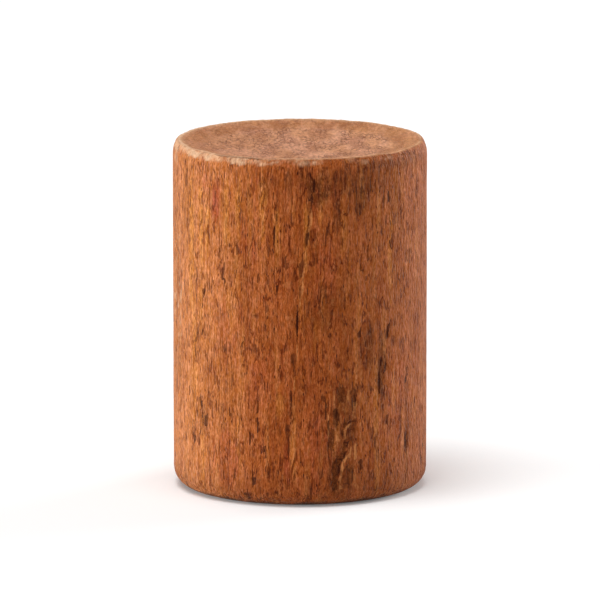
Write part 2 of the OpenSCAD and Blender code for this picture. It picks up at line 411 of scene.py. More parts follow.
            (-80, 0.55, 7, 0.45, 0.60),
            (-58, 0.50, 5, 0.45, 0.95),
            (-47, 0.60, 4, 0.35, 0.75),
            (-30, 0.60, 6, 0.35, 0.70),
            (-76, 1.70, 6, 0.60, 0.38),
            (31, 0.60, 3, 0.30, 0.40),
            (45, 0.55, 4, 0.30, 0.35),
        ],
    },
    # small pale scuffs on the side that turns away to the left, which also paint the pale sheen of that
    # grazing edge
    "scuffsAndSheen": {
        "arc": (-19.4, 3.4),  # middle and half width
        "height": (21.0, 12.0),
        "specks": [(1.0, (3.0, 3.0, 1.1), 91.0), (0.5, (0.7, 0.7, 0.25), 95.0)],
        "levels": (0.10, 0.50),
        "strength": 0.62,
    },
    # the skin's map: side and wall of the hole are unrolled, the level faces lie between as discs
    "map": {
        "sideTop": 0.42,
        "wallLow": 0.78,
        "wallHigh": 0.98,
        "topRise": 0.75,  # a face of the top disc faces up at least this much
        "discRadius": 0.15,
        "topDisc": (0.16, 0.60),
        "footDisc": (0.48, 0.60),
        "endDisc": (0.80, 0.60),
    },
    "colours": {
        "left": (210, 132, 76),
        "middle": (170, 90, 42),
        "right": (174, 98, 52),
        "gold": (226, 148, 66),
        "rust": (172, 84, 50),
        "shade": (100, 52, 22),
        "redPatch": (134, 58, 26),
        "palePatch": (214, 140, 78),
        "fleck": (208, 136, 84),
        "split": (64, 22, 6),
        "tornWoodAndShade": (92, 45, 16),
        "highlightLip": (216, 140, 82),
        "worn": (230, 184, 146),
        "topFloor": (220, 159, 121),
        "topBand": (204, 142, 98),
        "topDark": (164, 98, 60),
        "topCrack": (132, 74, 44),
        "grimeAndContactShadow": (66, 38, 24),
        "dust": (255, 222, 200),
    },
    # noise in the wood: grains for each mm, the levels it runs between, shift, detail, distortion
    "noises": {
        "red": ((0.75, 0.75, 0.13), 0.50, 0.68, 3.3, 3.0, 0.4),
        "redFine": ((1.9, 1.9, 1.0), 0.50, 0.66, 8.8, 3.0, 0.8),
        "pale": ((1.0, 1.0, 0.10), 0.52, 0.72, 14.2, 2.0, 0.0),
        "veil": ((0.42, 0.42, 0.07), 0.36, 0.62, 18.0, 3.0, 0.5),
        "fibre": ((3.8, 3.8, 0.85), 0.3, 0.7, 21.0, 2.0, 0.0),
        "crackle": ((7.5, 7.5, 2.4), 0.3, 0.7, 33.0, 1.0, 0.0),
        "strand": ((8.5, 8.5, 0.20), 0.35, 0.65, 36.0, 1.0, 0.0),
        "threadParts": ((0.6, 0.6, 0.12), 0.46, 0.60, 125.0, 2.0, 0.0),
        "flakeParts": ((1.3, 1.3, 0.6), 0.49, 0.58, 94.0, 1.0, 0.0),
        "fleck": ((2.1, 2.1, 1.3), 0.57, 0.68, 40.0, 3.0, 0.3),
        "mottle": ((0.60, 0.22, 0.5), 0.42, 0.66, 61.0, 3.0, 0.0),
        "rosy": ((0.45, 0.17, 0.5), 0.45, 0.60, 69.0, 2.0, 0.0),
        "topFine": ((3.0, 1.1, 1.0), 0.3, 0.7, 66.0, 3.0, 0.0),
        "netParts": ((0.8, 0.32, 0.5), 0.42, 0.58, 78.0, 3.0, 0.0),
        "splinter": ((2.6, 2.6, 2.0), 0.36, 0.64, 97.0, 3.0, 1.0),
        "dirtPatch": ((0.5, 0.5, 1.0), 0.30, 0.62, 80.0, 2.0, 0.0),
    },
    # thin crooked lines: grains for each mm, width, shift, level that the noise crosses there
    "lines": {
        "thread": ((1.2, 1.2, 0.045), 0.030, 120.0, 0.5),
        "flake": ((1.7, 1.7, 0.26), 0.055, 90.0, 0.5),
        "flakeLip": ((1.7, 1.7, 0.26), 0.05, 90.0, 0.585),
    },
    # dark dots: grains for each mm, where a dot's edge begins and ends, shift, share that has one
    "dots": {
        "pore": ((2.7, 2.7, 0.80), 0.13, 0.18, 50.0, 0.26),
        "longPore": ((3.6, 3.6, 0.40), 0.12, 0.17, 55.0, 0.40),
    },
    # the net of fine cracks on the top
    "net": {
        "grains": (2.0, 0.82, 0.30),
        "width": 0.16,
        "shift": 72.0,
        "bendScale": 1.3,
        "bendReach": 1.1,
        "onFloor": 1.0,
        "onBand": 0.3,
    },
    # what the colour is multiplied by where a pattern is low and where it is high
    "tints": {
        "veil": ((0.91, 0.89, 0.80), (1.05, 1.07, 1.16)),
        "fibre": ((0.89, 0.80, 0.56), (1.09, 1.13, 1.32)),
        "crackle": ((0.76, 0.67, 0.42), (1.17, 1.22, 1.42)),
        "strand": ((0.90, 0.86, 0.76), (1.07, 1.09, 1.15)),
        "thread": ((1, 1, 1), (1.18, 1.24, 1.34)),
        "flakeLip": ((1, 1, 1), (1.18, 1.22, 1.28)),
        "flake": ((1, 1, 1), (0.48, 0.33, 0.17)),
        "pore": ((1, 1, 1), (0.26, 0.14, 0.05)),
        "rosy": ((0.97, 0.93, 0.84), (1.04, 1.04, 1.10)),
        "topFine": ((0.80, 0.74, 0.66), (1.14, 1.17, 1.20)),
        "splinter": ((0.62, 0.52, 0.38), (1.22, 1.28, 1.38)),
        "tornSplinter": ((0.55, 0.42, 0.28), (1.5, 1.55, 1.6)),
    },
    # how strongly each colour is laid over the last
    "shares": {
        "gold": 0.7,
        "red": 0.32,
        "redFine": 0.42,
        "pale": 0.36,
        "fleck": 0.20,
        "mottle": 0.5,
        "net": 0.85,
        "splinter": 0.9,
        "torn": 0.85,
        "highlightLip": 0.7,
        "dirtAndContactShadow": 0.8,
    },
    # where a colour fades, across and then up: from, to, and how strong it is at either end
    "fades": {
        "left": (-13.5, -2.0, 1.0, 0.0),
        "right": (1.0, 12.0, 0.0, 1.0),
        # painted shade across the top, strongest on the left
        "topPaintedShade": (-13.0, 10.0, 0.34, 0.0),
        # dirt and painted contact shadow along the foot, then a little darker towards the foot
        "dirtAndContactShadow": (0.15, 1.1, 1.0, 0.0),
        "towardsFoot": (0.0, 6.0, 0.22, 0.0),
    },
    # marks on the skin: how far fine noise bends the edge, levels where a mark begins and is full
    "edges": {
        "torn": (0.4, 0.46, 0.56),
        "highlightLip": (0.4, 0.40, 0.66),
        "worn": (1.1, 0.06, 0.95),
        "split": (0.35, 0.54, 0.74),
    },
    "edgeNoise": ((5.0, 5.0, 2.2), 77.0),  # grains for each mm, shift
    # fine pale dust on a dry, hardly polished skin
    "finish": {
        "roughness": (0.70, 0.56),  # between the fibres and on them
        "specular": 0.06,
        "dust": 0.18,
        "dustRoughness": 0.34,
        "bumpStrength": 0.9,
        "bumpHeight": 0.09,
        "crackleHeight": 0.5,  # against that of the fibres
    },
}


def arcPoints(centre, radius, start, end, count):
    turns = [math.radians(start + (end - start) * i / count) for i in range(1, count + 1)]
    return [(centre[0] + radius * math.cos(t), centre[1] + radius * math.sin(t)) for t in turns]


def shellProfile():
    # from the top of the blind hole, down it, round the foot, up the side and over the rim to the axis
    look, mesh = shellLook["form"], shellLook["mesh"]
    low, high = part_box("wooden_shell")
    radius = (high.x - low.x) / 2 / mm
    height = high.z / mm
    hole, depth, chamfer = look["holeRadius"], look["holeDepth"], look["holeChamfer"]
    foot = look["footRadius"]
    shoulder = (radius - look["shoulderRadius"], height - look["shoulderDrop"])
    crestR = look["crestRadius"]
    rise = look["shoulderDrop"] - crestR
    crestX = shoulder[0] + math.sqrt((look["shoulderRadius"] - crestR) ** 2 - rise**2)
    crest = (crestX, height - crestR)
    shoulderEnd = math.degrees(math.atan2(rise, crestX - shoulder[0]))
    slope = look["dishSlope"]
    bandR = crestX / math.sin(math.radians(slope)) - crestR
    bandZ = crest[1] + (bandR + crestR) * math.cos(math.radians(slope))
    floorX = look["floorDiameter"] / 2
    floorEdge = bandZ - math.sqrt(bandR**2 - floorX**2)
    floorR = (floorX**2 + look["floorSag"] ** 2) / (2 * look["floorSag"])
    floorZ = floorEdge - look["floorSag"] + floorR

    points = [(0, depth), (hole / 3, depth), (hole * 2 / 3, depth), (hole, depth)]
    points += [(hole, depth + (chamfer - depth) * i / 6) for i in range(1, 7)]
    flat = radius - foot
    points += [(hole + chamfer + (flat - hole - chamfer) * i / 4, 0) for i in range(5)]
    points += arcPoints((flat, foot), foot, -90, 0, 8)
    stretches = ((foot, mesh["lowTop"], mesh["lowStep"]), (mesh["lowTop"], shoulder[1], mesh["sideStep"]))
    for start, end, step in stretches:
        rows = round((end - start) / step)
        points += [(radius, start + (end - start) * i / rows) for i in range(1, rows + 1)]
    points += arcPoints(shoulder, look["shoulderRadius"], 0, shoulderEnd, 7)
    points += arcPoints(crest, crestR, shoulderEnd, 90 + slope, 5)
    edge = points[-1][0]
    steps = round((edge - floorX) / mesh["bandStep"])
    for i in range(1, steps + 1):
        x = edge + (floorX - edge) * i / steps
        points.append((x, bandZ - math.sqrt(bandR**2 - x**2)))
    steps = round(floorX / mesh["floorStep"])
    for i in range(1, steps + 1):
        x = floorX * (1 - i / steps)
        points.append((x, floorZ - math.sqrt(floorR**2 - x**2)))
    return points


def turnShell():
    # one vertex is drawn along the section and then spun about the axis, as on a lathe
    deselectAll()
    mesh = shellLook["mesh"]
    points = shellProfile()
    bpy.ops.mesh.primitive_plane_add(size=mm, location=(0, 0, points[0][1] * mm))
    shell = bpy.context.object
    shell.name = "worn_wooden_shell"
    bpy.ops.object.transform_apply(location=True, rotation=True, scale=True)
    bpy.ops.object.mode_set(mode="EDIT")
    bpy.ops.mesh.select_all(action="SELECT")
    bpy.ops.mesh.merge(type="CENTER")
    for here, there in zip(points, points[1:]):
        step = ((there[0] - here[0]) * mm, 0, (there[1] - here[1]) * mm)
        bpy.ops.mesh.extrude_vertices_move(TRANSFORM_OT_translate={"value": step})
    bpy.ops.mesh.select_all(action="SELECT")
    for steps in (mesh["frontSteps"], mesh["backSteps"]):
        bpy.ops.mesh.spin(steps=steps, angle=math.pi, center=(0, 0, 0), axis=(0, 0, -1))
    bpy.ops.mesh.select_all(action="SELECT")
    bpy.ops.mesh.remove_doubles(threshold=hair * mm)
    bpy.ops.mesh.normals_make_consistent(inside=False)
    bpy.ops.object.mode_set(mode="OBJECT")
    bpy.ops.object.shade_smooth()
    print("shell turned:", len(shell.data.vertices), "vertices,", len(shell.data.polygons), "faces")
    return shell


def noiseField(places, scale, shift):
    grid = (places * np.array(scale) + shift).tolist()
    return np.array([noise.noise(place) for place in grid])


def wavesOf(places, waves):
    return sum(depth * noiseField(places, scale, shift) for depth, scale, shift in waves)


def smooth(values, low, high):
    share = np.clip((values - low) / (high - low), 0, 1)
    return share * share * (3 - 2 * share)


def hump(values, middle, width):
    return np.exp(-(((values - middle) / width) ** 2))


def turnGap(turn, middle):
    return (turn - middle + 180) % 360 - 180


def besideLine(arc, height, line):
    # distance from the line, how far to its right, and how far along it from 0 to 1
    near = np.full(arc.shape, np.inf)
    right = np.zeros(arc.shape)
    along = np.zeros(arc.shape)
    lengths = [math.dist(a, b) for a, b in zip(line, line[1:])]
    done = 0.0
    for a, b, length in zip(line, line[1:], lengths):
        run = ((arc - a[0]) * (b[0] - a[0]) + (height - a[1]) * (b[1] - a[1])) / length**2
        held = np.clip(run, 0, 1)
        aside = arc - (a[0] + held * (b[0] - a[0]))
        away = np.hypot(aside, height - (a[1] + held * (b[1] - a[1])))
        closer = away < near
        near[closer] = away[closer]
        right[closer] = aside[closer]
        along[closer] = (done + held[closer] * length) / sum(lengths)
        done += length
    return near, right, along


def readSkin(shell):
    # where every vertex lies before any relief, in millimetres, and which stretch it belongs to
    look = shellLook["form"]
    mesh = shell.data
    flat = np.empty(len(mesh.vertices) * 3)
    mesh.vertices.foreach_get("co", flat)
    places = flat.reshape(-1, 3) / mm
    mesh.vertices.foreach_get("normal", flat)
    normals = flat.reshape(-1, 3).copy()
    radius = np.hypot(places[:, 0], places[:, 1])
    height = places[:, 2]
    turn = np.degrees(np.arctan2(places[:, 0], -places[:, 1]))
    wide = radius.max()
    mouth = look["holeRadius"] + look["holeChamfer"]
    return {
        "places": places,
        "normals": normals,
        "radius": radius,
        "height": height,
        "turn": turn,
        "arc": np.radians(turn) * wide,
        "bore": (radius < mouth + 2 * hair) & (height < look["holeDepth"] + 2 * hair),
        "top": height.max(),
        "wide": wide,
    }


# what is marked on every vertex for the material, from 0 to 1
markNames = (
    "split",
    "dark",
    "highlightLip",
    "torn",
    "tornDark",
    "worn",
    "endGrain",
    "band",
    "gold",
    "rust",
    "shade",
)

# A split is marked as a tent this many times its width, and the material cuts the tent off high up,
# so that its edge stays sharp between two columns of the mesh. Its groove is narrower.
tentWidth = 3.0
grooveWidth = 1.3


def tentOf(away, width):
    return 1 - away / (tentWidth * width)


def grooveOf(away, width):
    return np.clip(1 - (away / (grooveWidth * width)) ** 2, 0, 1)


def markSplit(marks, here, tent, dark):
    higher = tent > marks["split"][here]
    marks["split"][here[higher]] = tent[higher]
    marks["dark"][here[higher]] = dark


def cutCracks(skin, depth, marks):
    arc, height = skin["arc"], skin["height"]
    stray = wavesOf(skin["places"], [shellLook["relief"]["crackStray"]])
    for halfWidth, deep, dark, highlightLip, line in shellLook["cracks"]:
        arcs = [point[0] for point in line]
        heights = [point[1] for point in line]
        near = (arc > min(arcs) - 1) & (arc < max(arcs) + 1)
        near &= (height > min(heights) - 0.5) & (height < max(heights) + 0.5)
        here = np.flatnonzero(near & ~skin["bore"])
        away, right, along = besideLine(arc[here] + stray[here], height[here], line)
        taper = np.clip(5 * along * (1 - along), 0, 1) ** 0.5  # both ends run out to a third
        width = halfWidth * (0.35 + 0.65 * taper)
        depth[here] += deep * taper * grooveOf(away, width)
        markSplit(marks, here, tentOf(away, width), dark)
        # a pale lip on the crack's right side: a painted highlight where its far wall faces the light
        edge = tentOf(np.abs(right - 2 * width), width) * (away < 4 * width)
        marks["highlightLip"][here] = np.maximum(marks["highlightLip"][here], highlightLip * np.clip(edge, 0, 1))


def cutPits(skin, depth, marks):
    look = shellLook["pits"]
    dice = random.Random(look["seed"])
    arc, height = skin["arc"], skin["height"]
    outer = np.flatnonzero(~skin["bore"] & (skin["radius"] > skin["wide"] - 2))
    half = math.pi * skin["wide"]
    for _ in range(look["count"]):
        middle = dice.uniform(-half, half)
        level = dice.uniform(look["lowest"], skin["top"] - look["highest"])
        halfWidth = dice.uniform(*look["halfWidth"])
        length = dice.uniform(*look["length"])
        deep = dice.uniform(*look["depth"])
        dark = dice.uniform(*look["darkness"])
        lean = dice.uniform(*look["lean"])
        if abs(middle) > half / 2:
            halfWidth *= look["backWiden"]
            length *= look["backWiden"]
            dark *= look["backFaint"]
        up = (height[outer] - level) / (length / 2)
        aside = np.abs(arc[outer] - middle - lean * (height[outer] - level))
        close = (np.abs(up) < 1) & (aside < tentWidth * halfWidth)
        here, aside, window = outer[close], aside[close], 1 - up[close] ** 2
        width = halfWidth * (0.3 + 0.7 * window)
        depth[here] += deep * window * grooveOf(aside, width)
        markSplit(marks, here, tentOf(aside, width) * np.minimum(1, 4 * window), dark)


def withinShape(arc, height, outline):
    # distance to the outline, above zero inside it and below zero outside
    away = besideLine(arc, height, outline + outline[:1])[0]
    inside = np.zeros(arc.shape, dtype=bool)
    for a, b in zip(outline, outline[1:] + outline[:1]):
        if a[1] == b[1]:
            continue
        between = (height >= min(a[1], b[1])) & (height < max(a[1], b[1]))
        crossing = a[0] + (height - a[1]) * (b[0] - a[0]) / (b[1] - a[1])
        inside ^= between & (arc < crossing)
    return np.where(inside, away, -away)


def cutHollows(skin, depth, marks):
    arc, height = skin["arc"], skin["height"]
    here = np.flatnonzero((height < 20) & (arc > 1) & (arc < 13) & ~skin["bore"])  # room round them all
    arc, height = arc[here], height[here]
    ragged = wavesOf(skin["places"][here], [shellLook["relief"]["tornEdge"]])
    torn, tornDark = np.zeros(len(here)), np.zeros(len(here))
    sunk, highlightLip = np.zeros(len(here)), np.zeros(len(here))
    for deep, dark, outline in shellLook["hollows"]:
        within = withinShape(arc, height, outline) + ragged
        sunk = np.maximum(sunk, deep * smooth(within, -0.05, 0.20))
        tent = np.clip(0.5 + within / shellLook["relief"]["tornTent"], 0, 1)
        higher = tent > torn
        torn[higher] = tent[higher]
        tornDark[higher] = dark
    # pale ridges between the hollows, partly a painted highlight
    for halfWidth, bright, line in shellLook["ridges"]:
        away = besideLine(arc + ragged, height, line)[0]
        crown = np.clip(tentOf(away, halfWidth), 0, 1)
        sunk *= 1 - 0.8 * crown
        highlightLip = np.maximum(highlightLip, bright * crown)
    depth[here] += sunk
    marks["torn"][here] = torn
    marks["tornDark"][here] = tornDark
    marks["highlightLip"][here] = highlightLip


def layStains(skin, marks):
    arc, height = skin["arc"], skin["height"]
    ragged = wavesOf(skin["places"], shellLook["relief"]["stainEdge"])
    for kind, middle, level, halfWidth, halfHeight, strength in shellLook["stains"]:
        reach = np.hypot((height - level) / halfHeight, (arc - middle) / halfWidth) + ragged
        amount = strength * smooth(1.25 - reach, 0, 0.6)
        marks[kind] = np.maximum(marks[kind], amount * ~skin["bore"])


def knockRim(skin, depth):
    # the crest is chipped all the way round, and knocked here and there
    look = shellLook["rim"]
    (inMiddle, inWidth), (dropMiddle, dropWidth) = look["crest"]
    crest = hump(skin["inward"], inMiddle, inWidth) * hump(skin["drop"], dropMiddle, dropWidth)
    chips = np.clip(wavesOf(skin["places"], shellLook["relief"]["crestWaves"]) + look["chipLevel"], 0, 1)
    depth += crest * chips
    for middle, half, deep in look["knocks"]:
        depth += crest * deep * np.clip(1 - (turnGap(skin["turn"], middle) / half) ** 2, 0, 1)


def rubRim(skin, marks):
    # the crest is rubbed pale, most of all on the left of the front
    look = shellLook["rim"]
    places, turn, drop, inward = (skin[name] for name in ("places", "turn", "drop", "inward"))
    onCrest = drop < look["reach"]
    left = 1 - smooth(turn, *look["leftFade"]) * (1 - smooth(np.abs(turnGap(turn, 180)), *look["backFade"]))
    front = hump(turn, *look["front"])
    ragged = noiseField(places, *look["ragged"])
    streaks = noiseField(places, *look["streaks"])
    patches = smooth(noiseField(places, *look["patches"]), *look["patchLevels"])

    # the shoulder is rubbed bare with a streaky lower edge
    byRagged, byStreaks = look["edgeStray"]
    edge = drop + byRagged * ragged + byStreaks * streaks
    (start, startLeft), (end, endLeft) = look["edgeStart"], look["edgeEnd"]
    bare = 1 - smooth(edge, start + startLeft * left, end + endLeft * left)
    allRound, inFront = look["dull"]
    dull = (allRound + inFront * front) * patches * (1 - left)
    rubbed = look["leftBare"] * left * (0.65 + 0.35 * patches)
    bare *= (inward < look["bareReach"]) * (dull + rubbed) * (1 + streaks)
    # the pale crest line is worn wood and a painted highlight, brightest on the left and in front
    crestWearAndHighlight = hump(inward, *look["crestWearAndHighlight"]) * onCrest
    base, more, uneven = look["crestShares"]
    worn = np.maximum(bare, crestWearAndHighlight * (base + more * np.maximum(left, front) + uneven * ragged))
    inner = hump(inward, *look["innerLine"]) * onCrest * look["innerShare"]
    worn = np.maximum(worn, inner * left)
    for middle, level, halfWidth, halfHeight, strength in look["blots"]:
        reach = np.hypot(turnGap(turn, middle) / halfWidth, (drop - level) / halfHeight)
        blot = strength * smooth(1.3 - reach + 0.7 * streaks, 0, 0.8)
        worn = np.maximum(worn, blot * (inward < look["blotReach"]))
    marks["worn"] = np.clip(worn, 0, 1) * ~skin["bore"]

    middle, half = look["groove"]
    groove = np.clip(1 - np.abs(inward - middle) / half, 0, 1) * onCrest
    groove *= smooth(turn, *look["grooveStart"]) * (1 - smooth(turn, *look["grooveEnd"]))
    here = np.flatnonzero(groove > 0)
    markSplit(marks, here, groove[here], look["grooveDark"])


def scuffAndSheenLeft(skin, marks):
    # pale scuffs and painted sheen along the left edge
    look = shellLook["scuffsAndSheen"]
    specks = wavesOf(skin["places"], look["specks"])
    patch = hump(skin["arc"], *look["arc"]) * hump(skin["height"], *look["height"])
    scuffsAndSheen = look["strength"] * patch * smooth(specks, *look["levels"])
    marks["worn"] = np.maximum(marks["worn"], scuffsAndSheen * ~skin["bore"])


def weatherShell(shell):
    look = shellLook["relief"]
    skin = readSkin(shell)
    skin["drop"] = skin["top"] - skin["height"]
    skin["inward"] = skin["wide"] - skin["radius"]
    count = len(skin["height"])
    marks = {name: np.zeros(count) for name in markNames}
    normals = skin["normals"]
    upright = np.hypot(normals[:, 0], normals[:, 1])
    isHigh = skin["height"] > skin["top"] - look["topDepth"]
    facesUp = smooth(normals[:, 2], *look["topLean"]) * isHigh * ~skin["bore"]
    depth = look["skin"] + upright * wavesOf(skin["places"], look["sideWaves"])
    depth += facesUp * wavesOf(skin["places"], look["topWaves"])
    cutHollows(skin, depth, marks)
    cutCracks(skin, depth, marks)
    cutPits(skin, depth, marks)
    knockRim(skin, depth)
    rubRim(skin, marks)
    scuffAndSheenLeft(skin, marks)
    layStains(skin, marks)
    marks["endGrain"] = facesUp
    floorEdge = shellLook["form"]["floorDiameter"] / 2
    bandStart, bandEnd = look["bandEdge"]
    marks["band"] = facesUp * smooth(skin["radius"], floorEdge + bandStart, floorEdge + bandEnd)

    # nothing rises above the turned form, and the flat of the foot stays flat
    depth = np.maximum(depth, look["thinnest"]) * smooth(skin["height"], 0.0, 1.0)
    depth[skin["bore"]] = 0
    moved = (skin["places"] - normals * depth[:, None]) * mm
    shell.data.vertices.foreach_set("co", moved.ravel())
    for name, values in marks.items():
        layer = shell.data.attributes.new(name, "FLOAT", "POINT")
        layer.data.foreach_set("value", values)
    shell.data.update()
    print("shell weathered:", len(shellLook["cracks"]), "cracks,", shellLook["pits"]["count"], "pits")
    return skin


def unrollShell(shell, skin):
    look, form = shellLook["map"], shellLook["form"]
    mesh = shell.data
    loopCount = len(mesh.loops)
    loopVertex = np.empty(loopCount, dtype=np.int64)
    mesh.loops.foreach_get("vertex_index", loopVertex)
    faceCount = len(mesh.polygons)
    starts = np.empty(faceCount, dtype=np.int64)
    mesh.polygons.foreach_get("loop_start", starts)
    loopFace = np.repeat(np.arange(faceCount), np.diff(np.append(starts, loopCount)))
    sizes = np.bincount(loopFace)

    def faceMean(values):
        return np.bincount(loopFace, weights=values[loopVertex]) / sizes

    places, wide, top = skin["places"], skin["wide"], skin["top"]
    meanRadius, meanHeight = faceMean(skin["radius"]), faceMean(skin["height"])
    rise = faceMean(skin["normals"][:, 2])
    hole, depth = form["holeRadius"], form["holeDepth"]
    isEnd = (meanHeight > depth - hair) & (meanHeight < depth + hair) & (meanRadius < hole)
    isWall = (meanRadius < hole + form["holeChamfer"]) & (meanHeight < depth) & ~isEnd
    isFoot = (meanHeight < hair) & ~isWall
    isTop = (meanHeight > top - shellLook["relief"]["topDepth"]) & (rise > look["topRise"])

    # a face that crosses the seam keeps its corners on one side of it
    share = (skin["turn"] / 360 + 0.5)[loopVertex]
    first = share[starts][loopFace]
    share = np.where(share - first > 0.5, share - 1, np.where(first - share > 0.5, share + 1, share))
    middle = np.bincount(loopFace, weights=share) / sizes
    share = share + (middle < 0)[loopFace] - (middle > 1)[loopFace]
    level = skin["height"][loopVertex]
    across = np.stack([share, look["sideTop"] * level / top], axis=1)
    wall = look["wallLow"] + (look["wallHigh"] - look["wallLow"]) * level / depth
    across = np.where(isWall[loopFace][:, None], np.stack([share, wall], axis=1), across)
    for chosen, disc in ((isTop, "topDisc"), (isFoot, "footDisc"), (isEnd, "endDisc")):
        onDisc = places[loopVertex][:, :2] / wide * look["discRadius"] + np.array(look[disc])
        across = np.where(chosen[loopFace][:, None], onDisc, across)
    layer = mesh.uv_layers.new(name="OFBake")
    layer.data.foreach_set("uv", across.ravel())
    print("skin unrolled:", loopCount, "corners")


def perMetre(grains):
    # grains for each millimetre, in the metres that the material reads
    return tuple(1000 * grain for grain in grains)


def woodNoise(nodes, links, name):
    grains, low, high, shift, detail, distort = shellLook["noises"][name]
    raw = noiseNode(nodes, links, perMetre(grains), detail, 0.5, distort, (shift, shift, shift))
    return spread(nodes, links, raw, low, high)


def woodLine(nodes, links, name):
    # a thin crooked line wherever the noise crosses one level
    grains, width, shift, level = shellLook["lines"][name]
    raw = noiseNode(nodes, links, perMetre(grains), 3.0, 0.55, 0.6, (shift, shift, shift))
    gap = mathNode(nodes, links, "SUBTRACT", raw, level)
    gap = mathNode(nodes, links, "ABSOLUTE", gap)
    return spread(nodes, links, gap, 0.0, width, 1.0, 0.0)


def woodDots(nodes, links, name):
    # dots, long in the grain, in a share of the cells
    grains, start, end, shift, share = shellLook["dots"][name]
    cells = nodes.new("ShaderNodeTexVoronoi")
    cells.inputs["Scale"].default_value = 1.0
    links.new(stretched(nodes, links, perMetre(grains), (shift, shift, shift)), cells.inputs["Vector"])
    dots = spread(nodes, links, cells.outputs["Distance"], start, end, 1.0, 0.0)
    channels = nodes.new("ShaderNodeSeparateColor")
    links.new(cells.outputs["Color"], channels.inputs[0])
    chosen = spread(nodes, links, channels.outputs[0], share, share + 0.1, 1.0, 0.0)
    return mathNode(nodes, links, "MULTIPLY", dots, chosen)


def topNet(nodes, links, parts):
    # thin joints of a net of crooked cells, broken up in parts and fainter on the band
    look = shellLook["net"]
    shift = look["shift"]
    grid = stretched(nodes, links, perMetre(look["grains"]), (shift, shift, shift))
    wander = nodes.new("ShaderNodeTexNoise")
    wander.inputs["Scale"].default_value = look["bendScale"]
    wander.inputs["Detail"].default_value = 3.0
    links.new(grid, wander.inputs["Vector"])
    bend = nodes.new("ShaderNodeVectorMath")
    bend.operation = "MULTIPLY_ADD"
    bend.inputs[1].default_value = [look["bendReach"]] * 3
    links.new(wander.outputs["Color"], bend.inputs[0])
    links.new(grid, bend.inputs[2])
    cells = nodes.new("ShaderNodeTexVoronoi")
    cells.feature = "DISTANCE_TO_EDGE"
    cells.inputs["Scale"].default_value = 1.0
    links.new(bend.outputs[0], cells.inputs["Vector"])
    joints = spread(nodes, links, cells.outputs["Distance"], 0.0, look["width"], 1.0, 0.0)
    shown = spread(nodes, links, attribute(nodes, "band"), 0.0, 1.0, look["onFloor"], look["onBand"], False)
    shown = mathNode(nodes, links, "MULTIPLY", shown, parts)
    return mathNode(nodes, links, "MULTIPLY", joints, shown)


def woodPatterns(nodes, links):
    # every pattern of the wood, from 0 to 1
    patterns = {name: woodNoise(nodes, links, name) for name in shellLook["noises"]}
    patterns |= {name: woodLine(nodes, links, name) for name in shellLook["lines"]}
    patterns |= {name: woodDots(nodes, links, name) for name in shellLook["dots"]}
    for name, parts in (("thread", "threadParts"), ("flake", "flakeParts"), ("flakeLip", "flakeParts")):
        patterns[name] = mathNode(nodes, links, "MULTIPLY", patterns[name], patterns[parts])
    patterns["pore"] = mathNode(nodes, links, "MAXIMUM", patterns["pore"], patterns["longPore"])
    patterns["net"] = topNet(nodes, links, patterns["netParts"])
    return patterns


def woodPaint(name):
    return painted(*shellLook["colours"][name])


def scaled(nodes, links, value, share):
    return mathNode(nodes, links, "MULTIPLY", value, shellLook["shares"][share])


def faded(nodes, links, value, name):
    start, end, atStart, atEnd = shellLook["fades"][name]
    return spread(nodes, links, value, start * mm, end * mm, atStart, atEnd)


def laid(nodes, links, under, amount, colour, share=None):
    # one of the wood's colours laid over what is under it
    if share:
        amount = scaled(nodes, links, amount, share)
    return mixColour(nodes, links, amount, under, woodPaint(colour))


def tinted(nodes, links, under, value, name):
    # multiplied by one tint where the pattern is low and by another where it is high
    low, high = shellLook["tints"][name]
    tint = mixColour(nodes, links, value, (*low, 1), (*high, 1))
    return mixColour(nodes, links, 1.0, under, tint, "MULTIPLY")


def sideColour(nodes, links, across, patterns):
    # the tree's layers and stains, then patches, fibres and lines, flecks and pores
    colour = laid(nodes, links, woodPaint("middle"), faded(nodes, links, across, "left"), "left")
    colour = laid(nodes, links, colour, faded(nodes, links, across, "right"), "right")
    colour = laid(nodes, links, colour, attribute(nodes, "rust"), "rust")
    colour = laid(nodes, links, colour, attribute(nodes, "gold"), "gold", "gold")
    colour = laid(nodes, links, colour, attribute(nodes, "shade"), "shade")
    colour = laid(nodes, links, colour, patterns["red"], "redPatch", "red")
    colour = laid(nodes, links, colour, patterns["redFine"], "redPatch", "redFine")
    colour = laid(nodes, links, colour, patterns["pale"], "palePatch", "pale")
    for name in ("veil", "fibre", "crackle", "strand", "thread", "flakeLip", "flake"):
        colour = tinted(nodes, links, colour, patterns[name], name)
    colour = laid(nodes, links, colour, patterns["fleck"], "fleck", "fleck")
    return tinted(nodes, links, colour, patterns["pore"], "pore")


def topColour(nodes, links, across, patterns):
    # end grain, a little darker on the sloping band, with painted shade darkening it towards the left where
    # the dish slopes away from the light
    colour = laid(nodes, links, woodPaint("topFloor"), attribute(nodes, "band"), "topBand")
    colour = laid(nodes, links, colour, faded(nodes, links, across, "topPaintedShade"), "topDark")
    colour = laid(nodes, links, colour, patterns["mottle"], "topDark", "mottle")
    for name in ("rosy", "topFine"):
        colour = tinted(nodes, links, colour, patterns[name], name)
    return laid(nodes, links, colour, patterns["net"], "topCrack", "net")


def sharpMark(nodes, links, ragged, name):
    # a mark of the skin cut off at one level, with an edge that fine noise bends
    bend, low, high = shellLook["edges"][name]
    mark = mathNode(nodes, links, "MULTIPLY_ADD", ragged, bend, attribute(nodes, name))
    return spread(nodes, links, mark, low, high)


def bareWood(nodes, links, ragged):
    # the rubbed wood is as strong as its mark, with a fine ragged grain in it
    bend, low, high = shellLook["edges"]["worn"]
    bare = mathNode(nodes, links, "MULTIPLY_ADD", ragged, bend, 1.0)
    bare = mathNode(nodes, links, "MULTIPLY", bare, attribute(nodes, "worn"), clamp=True)
    return spread(nodes, links, bare, low, high)


